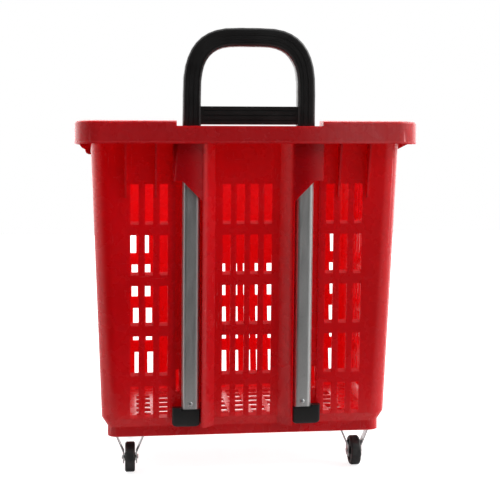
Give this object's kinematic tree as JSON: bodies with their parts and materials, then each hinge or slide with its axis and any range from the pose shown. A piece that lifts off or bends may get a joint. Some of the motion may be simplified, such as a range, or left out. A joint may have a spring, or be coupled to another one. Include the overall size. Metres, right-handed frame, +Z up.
{
  "type": "shopping basket",
  "caption": "Moulded rolling shopping basket with a slotted tapered body, a telescopic pull handle on slim rails, fixed wheels and swivel casters.",
  "frame": {"origin": "on the floor, under the middle of the rim's footprint", "axes": "+Z up; the handle wall faces -Y, so +X is the viewer's right when looking at the handle side"},
  "size_m": [0.4336, 0.3508, 0.569],
  "materials": {
    "red_plastic": "satin moulded polypropylene, lightly scuffed",
    "black_plastic": "semi-gloss moulded plastic",
    "black_wheel": "satin",
    "aluminium": "drawn, satin anodised",
    "zinc": "zinc plated"
  },
  "bodies": {
    "basket": {"basket_body": "red_plastic", "front_left_bracket": "zinc", "front_left_axle": "zinc", "front_left_inner_rivet": "zinc", "front_left_outer_rivet": "zinc", "rear_left_caster_plate": "zinc", "rear_left_kingpin": "zinc", "rear_left_inner_rivet": "zinc", "rear_left_outer_rivet": "zinc", "front_right_bracket": "zinc", "front_right_axle": "zinc", "front_right_inner_rivet": "zinc", "front_right_outer_rivet": "zinc", "rear_right_caster_plate": "zinc", "rear_right_kingpin": "zinc", "rear_right_inner_rivet": "zinc", "rear_right_outer_rivet": "zinc"},
    "handle": {"handle_grip": "black_plastic", "left_rail": "aluminium", "left_end_cap": "black_plastic", "left_rail_lower_rivet": "zinc", "left_rail_upper_rivet": "zinc", "right_rail": "aluminium", "right_end_cap": "black_plastic", "right_rail_lower_rivet": "zinc", "right_rail_upper_rivet": "zinc"},
    "front_left_wheel": {"front_left_wheel": "black_wheel"},
    "rear_left_fork": {"rear_left_fork": "zinc", "rear_left_axle": "zinc"},
    "rear_left_wheel": {"rear_left_wheel": "black_wheel"},
    "front_right_wheel": {"front_right_wheel": "black_wheel"},
    "rear_right_fork": {"rear_right_fork": "zinc", "rear_right_axle": "zinc"},
    "rear_right_wheel": {"rear_right_wheel": "black_wheel"}
  },
  "joints": [
    {"name": "handle_slide", "type": "slide", "parent": "basket", "child": "handle", "axis": [0, -0.0847, 0.9964], "range_m": [0, 0.285]},
    {"name": "front_left_wheel_spin", "type": "hinge", "parent": "basket", "child": "front_left_wheel", "pos_m": [-0.148, -0.086, 0.019], "axis": [1, 0, 0], "continuous": true},
    {"name": "rear_left_swivel", "type": "hinge", "parent": "basket", "child": "rear_left_fork", "pos_m": [-0.148, 0.076, 0.045], "axis": [0, 0, 1], "continuous": true},
    {"name": "rear_left_wheel_spin", "type": "hinge", "parent": "rear_left_fork", "child": "rear_left_wheel", "pos_m": [-0.148, 0.087, 0.019], "axis": [1, 0, 0], "continuous": true},
    {"name": "front_right_wheel_spin", "type": "hinge", "parent": "basket", "child": "front_right_wheel", "pos_m": [0.148, -0.086, 0.019], "axis": [1, 0, 0], "continuous": true},
    {"name": "rear_right_swivel", "type": "hinge", "parent": "basket", "child": "rear_right_fork", "pos_m": [0.148, 0.076, 0.045], "axis": [0, 0, 1], "continuous": true},
    {"name": "rear_right_wheel_spin", "type": "hinge", "parent": "rear_right_fork", "child": "rear_right_wheel", "pos_m": [0.148, 0.087, 0.019], "axis": [1, 0, 0], "continuous": true}
  ]
}
